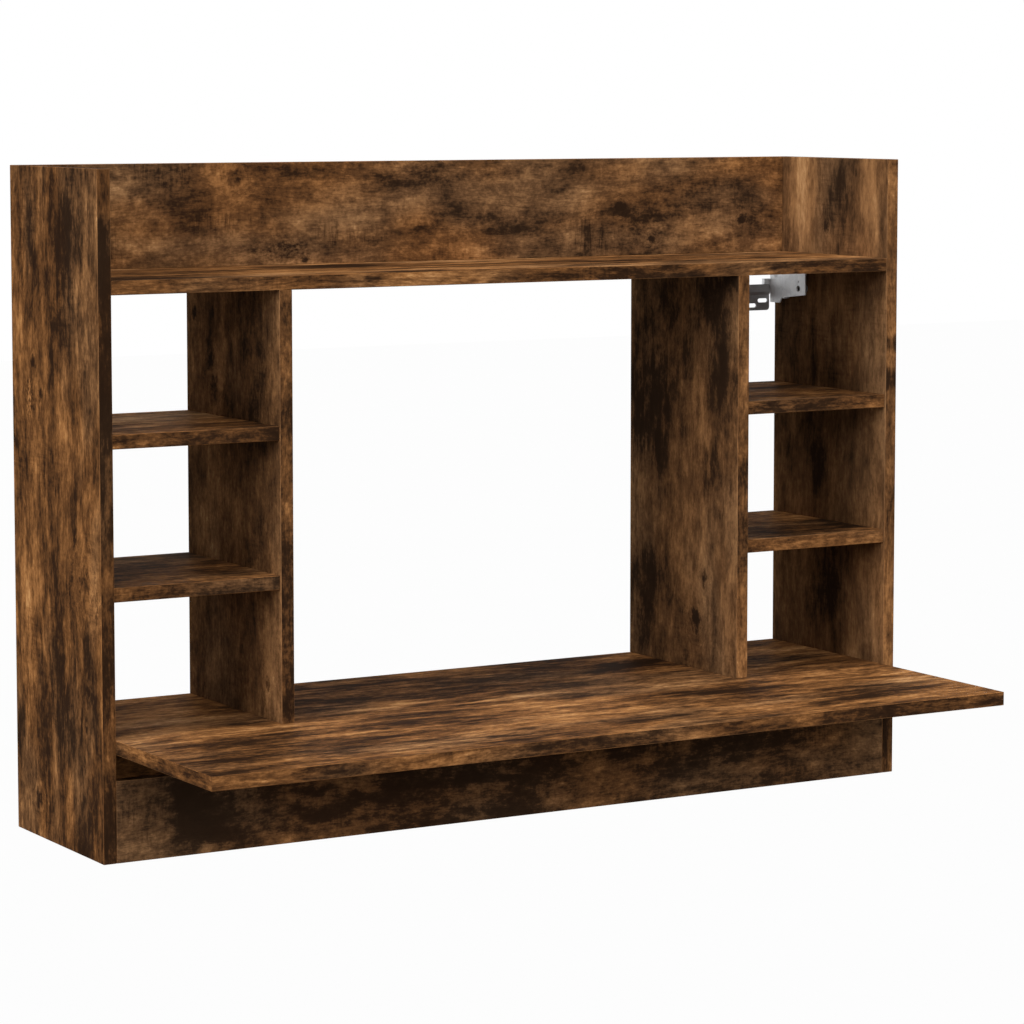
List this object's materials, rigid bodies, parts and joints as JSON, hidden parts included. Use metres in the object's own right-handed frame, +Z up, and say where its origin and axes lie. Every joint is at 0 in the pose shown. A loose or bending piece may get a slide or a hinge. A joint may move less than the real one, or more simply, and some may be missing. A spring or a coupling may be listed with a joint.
{
  "type": "wall desk",
  "caption": "Wall-hung writing desk of oak-look boards: deep desktop, cubbies at each side, open centre, top ledge and front apron, on adjustable cabinet hangers.",
  "frame": {"origin": "on the wall plane, midway between the centre slots of the two wall plates", "axes": "+X across the width, to the right of someone facing the wall; +Y into the wall; +Z up"},
  "size_m": [1, 0.45, 0.712],
  "materials": {
    "oak_board": "smoked oak foil, satin",
    "zinc_cam": "die-cast zinc",
    "zinc_screw": "zinc plated",
    "housing_steel": "zinc plated",
    "hook_steel": "zinc plated",
    "plate_steel": "dark satin"
  },
  "bodies": {
    "wall_plates": {"left_wall_plate": "plate_steel", "right_wall_plate": "plate_steel"},
    "hooks": {"left_hook": "hook_steel", "right_hook": "hook_steel"},
    "carriages": {"left_carriage": "hook_steel", "right_carriage": "hook_steel"},
    "carcass": {"top_shelf": "oak_board", "top_back_board": "oak_board", "desktop": "oak_board", "front_apron": "oak_board", "rear_rail": "oak_board", "left_side_panel": "oak_board", "left_divider": "oak_board", "left_lower_shelf": "oak_board", "left_upper_shelf": "oak_board", "right_side_panel": "oak_board", "right_divider": "oak_board", "right_lower_shelf": "oak_board", "right_upper_shelf": "oak_board", "cam_discs": "zinc_cam", "left_hanger_housing": "housing_steel", "right_hanger_housing": "housing_steel", "hanger_screws": "zinc_screw"},
    "left_height_screw": {"left_height_screw": "zinc_screw"},
    "left_depth_screw": {"left_depth_screw": "zinc_screw"},
    "right_height_screw": {"right_height_screw": "zinc_screw"},
    "right_depth_screw": {"right_depth_screw": "zinc_screw"}
  },
  "joints": [
    {"name": "lift_off", "type": "slide", "parent": "wall_plates", "child": "hooks", "axis": [0, 0, 1], "range_m": [0, 0.012]},
    {"name": "height_adjust", "type": "slide", "parent": "hooks", "child": "carriages", "axis": [0, 0, 1], "range_m": [-0.006, 0.006]},
    {"name": "depth_adjust", "type": "slide", "parent": "carriages", "child": "carcass", "axis": [0, -1, 0], "range_m": [0, 0.01]},
    {"name": "left_height_screw_turn", "type": "hinge", "parent": "carriages", "child": "left_height_screw", "pos_m": [-0.4795, -0.013, 0.0253], "axis": [0, 0, 1], "range_deg": [-2200, 2200]},
    {"name": "left_depth_screw_turn", "type": "hinge", "parent": "carcass", "child": "left_depth_screw", "pos_m": [-0.4795, -0.05, 0.0253], "axis": [0, -1, 0], "range_deg": [-40, 3640]},
    {"name": "right_height_screw_turn", "type": "hinge", "parent": "carriages", "child": "right_height_screw", "pos_m": [0.4795, -0.013, 0.0253], "axis": [0, 0, 1], "range_deg": [-2200, 2200]},
    {"name": "right_depth_screw_turn", "type": "hinge", "parent": "carcass", "child": "right_depth_screw", "pos_m": [0.4795, -0.05, 0.0253], "axis": [0, -1, 0], "range_deg": [-40, 3640]}
  ],
  "couplings": [
    {"joint": "left_height_screw_turn", "follows": "height_adjust", "rad_per_m": 6283.2},
    {"joint": "left_depth_screw_turn", "follows": "depth_adjust", "rad_per_m": 6283.2},
    {"joint": "right_height_screw_turn", "follows": "height_adjust", "rad_per_m": 6283.2},
    {"joint": "right_depth_screw_turn", "follows": "depth_adjust", "rad_per_m": 6283.2}
  ]
}
